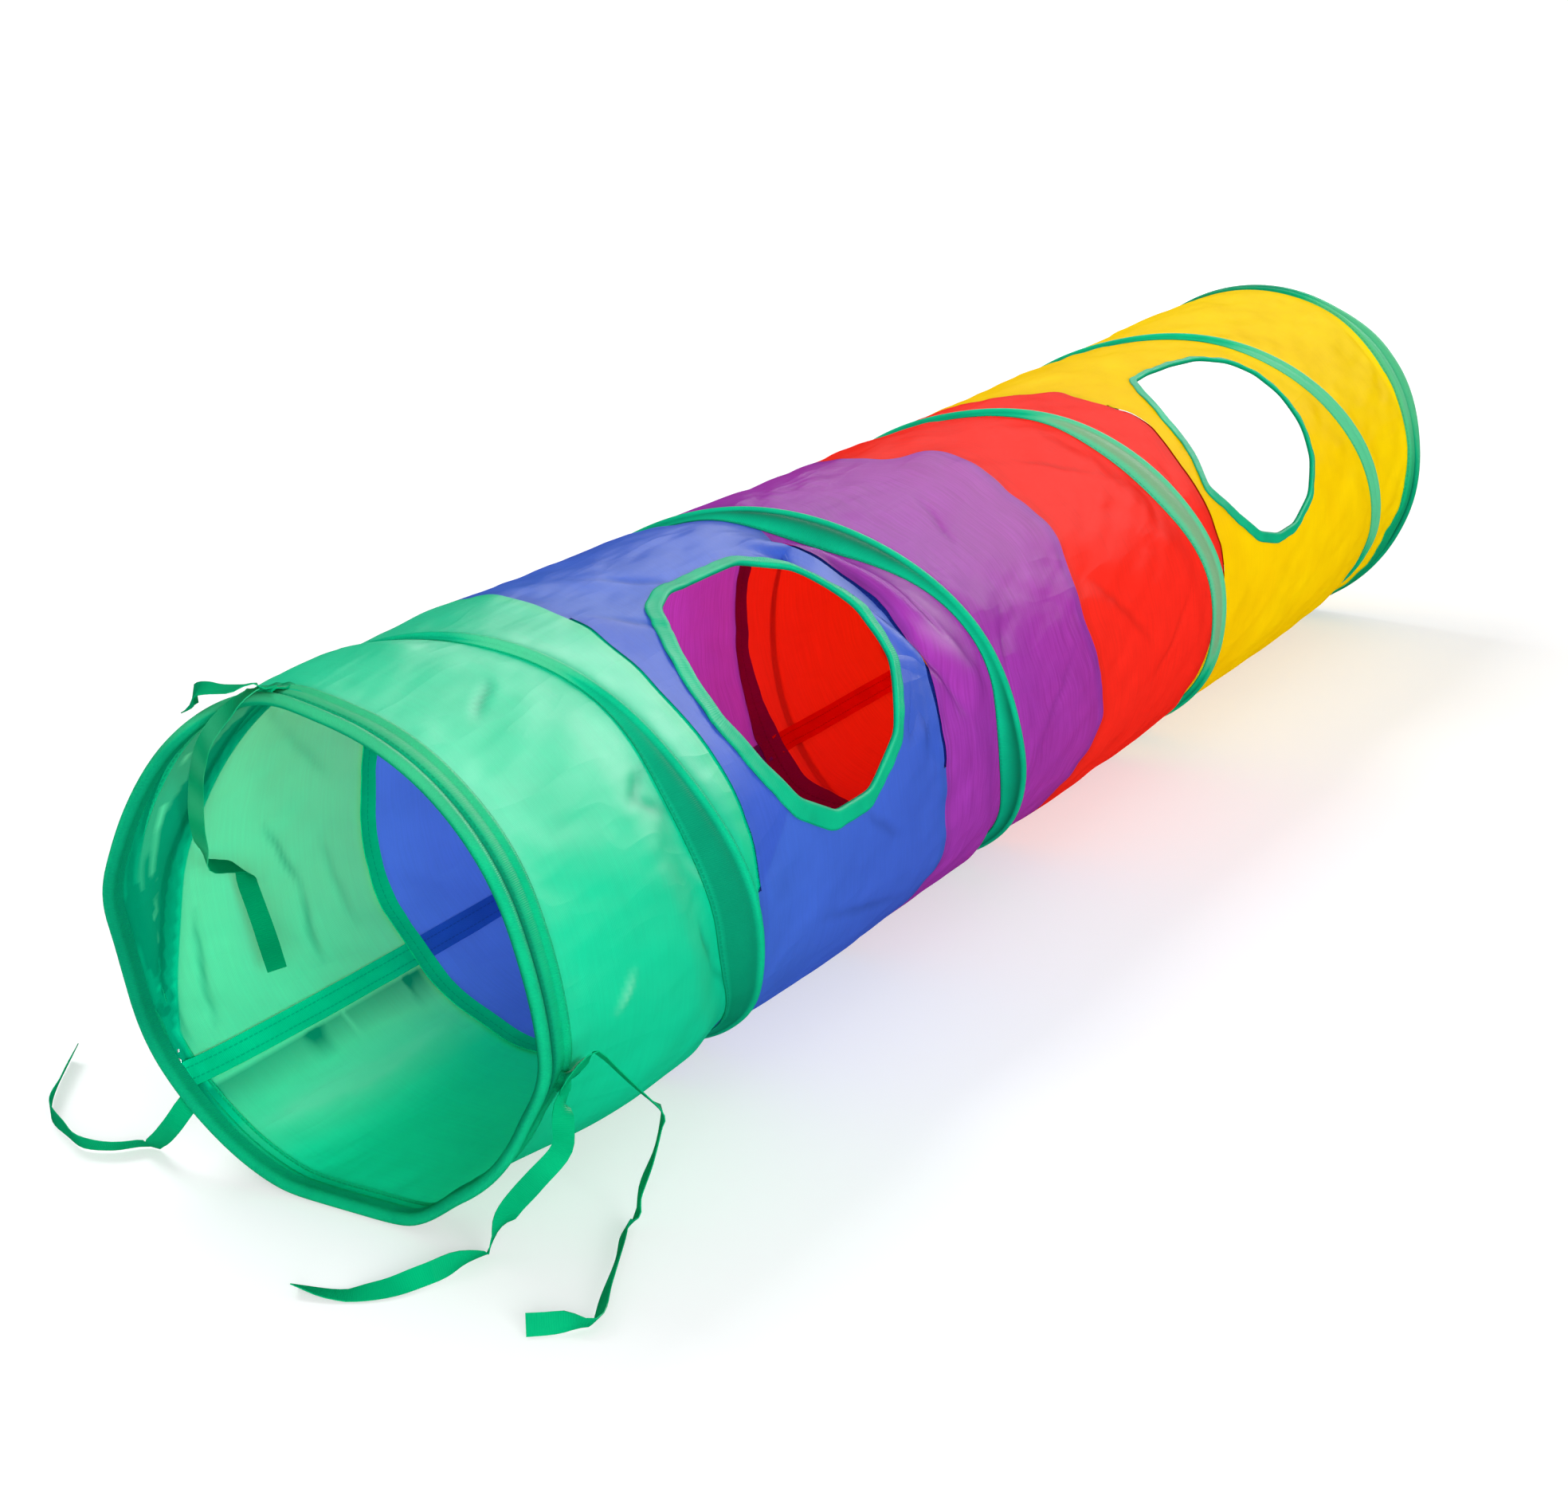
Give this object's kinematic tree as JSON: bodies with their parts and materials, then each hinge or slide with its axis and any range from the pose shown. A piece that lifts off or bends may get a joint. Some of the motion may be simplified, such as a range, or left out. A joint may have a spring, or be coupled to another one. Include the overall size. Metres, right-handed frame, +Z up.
{
  "type": "cat tunnel",
  "caption": "Pop-open fabric play tunnel with a coiled spring wire, coloured panels, bound peep holes and ribbon ties at one mouth.",
  "frame": {"origin": "on the floor, under the middle of the tunnel's length", "axes": "+X along the tunnel from the mouth with the ribbon ties to the far mouth, +Z up"},
  "size_m": [1.2182, 0.3736, 0.2518],
  "materials": {
    "green_fabric": "translucent nylon, bright green",
    "green_seam": "double layer of the same nylon, darker",
    "blue_fabric": "translucent nylon, cornflower blue",
    "blue_seam": "double layer of the same nylon, darker",
    "purple_fabric": "translucent nylon, purple",
    "purple_seam": "double layer of the same nylon, darker",
    "red_fabric": "translucent nylon, red",
    "red_seam": "double layer of the same nylon, darker",
    "yellow_fabric": "translucent nylon, yellow",
    "yellow_seam": "double layer of the same nylon, darker",
    "green_binding": "green woven nylon tape",
    "green_ribbon": "narrow green ribbon",
    "wire": "plain spring steel"
  },
  "bodies": {
    "near_end": {"hem_near": "green_binding", "green_panel": "green_fabric", "seam_strip_green": "green_seam", "casing_tape": "green_binding", "spring_wire": "wire", "tie_tab_top": "green_binding", "tie_tab_right": "green_binding", "tie_tab_left": "green_binding", "tie_top_long": "green_ribbon", "tie_top_short": "green_ribbon", "tie_right_front": "green_ribbon", "tie_right_back": "green_ribbon", "tie_left": "green_ribbon"},
    "blue_section": {"seam_ring_green_blue": "green_seam", "blue_panel": "blue_fabric", "seam_strip_blue": "blue_seam", "window_binding_blue": "green_binding"},
    "purple_section": {"seam_ring_blue_purple": "blue_seam", "purple_panel": "purple_fabric", "seam_strip_purple": "purple_seam"},
    "red_section": {"seam_ring_purple_red": "purple_seam", "red_panel": "red_fabric", "seam_strip_red": "red_seam"},
    "yellow_section": {"seam_ring_red_yellow": "red_seam", "yellow_panel": "yellow_fabric", "seam_strip_yellow": "yellow_seam", "window_binding_yellow": "green_binding"},
    "far_end": {"hem_far": "green_binding"}
  },
  "joints": [
    {"name": "collapse", "type": "slide", "parent": "near_end", "child": "far_end", "axis": [1, 0, 0], "range_m": [-1.0639, 0], "stiffness_N_per_m": 8, "deforming": ["green_panel", "blue_panel", "purple_panel", "red_panel", "yellow_panel", "casing_tape", "spring_wire", "seam_strip_green", "seam_strip_blue", "seam_strip_purple", "seam_strip_red", "seam_strip_yellow", "window_binding_blue", "window_binding_yellow"]},
    {"name": "blue_follows", "type": "slide", "parent": "near_end", "child": "blue_section", "axis": [1, 0, 0], "range_m": [-0.1461, 0]},
    {"name": "purple_follows", "type": "slide", "parent": "near_end", "child": "purple_section", "axis": [1, 0, 0], "range_m": [-0.3265, 0]},
    {"name": "red_follows", "type": "slide", "parent": "near_end", "child": "red_section", "axis": [1, 0, 0], "range_m": [-0.5106, 0]},
    {"name": "yellow_follows", "type": "slide", "parent": "near_end", "child": "yellow_section", "axis": [1, 0, 0], "range_m": [-0.6845, 0]}
  ],
  "couplings": [
    {"joint": "blue_follows", "follows": "collapse", "ratio": 0.13636},
    {"joint": "purple_follows", "follows": "collapse", "ratio": 0.30594},
    {"joint": "red_follows", "follows": "collapse", "ratio": 0.47902},
    {"joint": "yellow_follows", "follows": "collapse", "ratio": 0.64248}
  ]
}
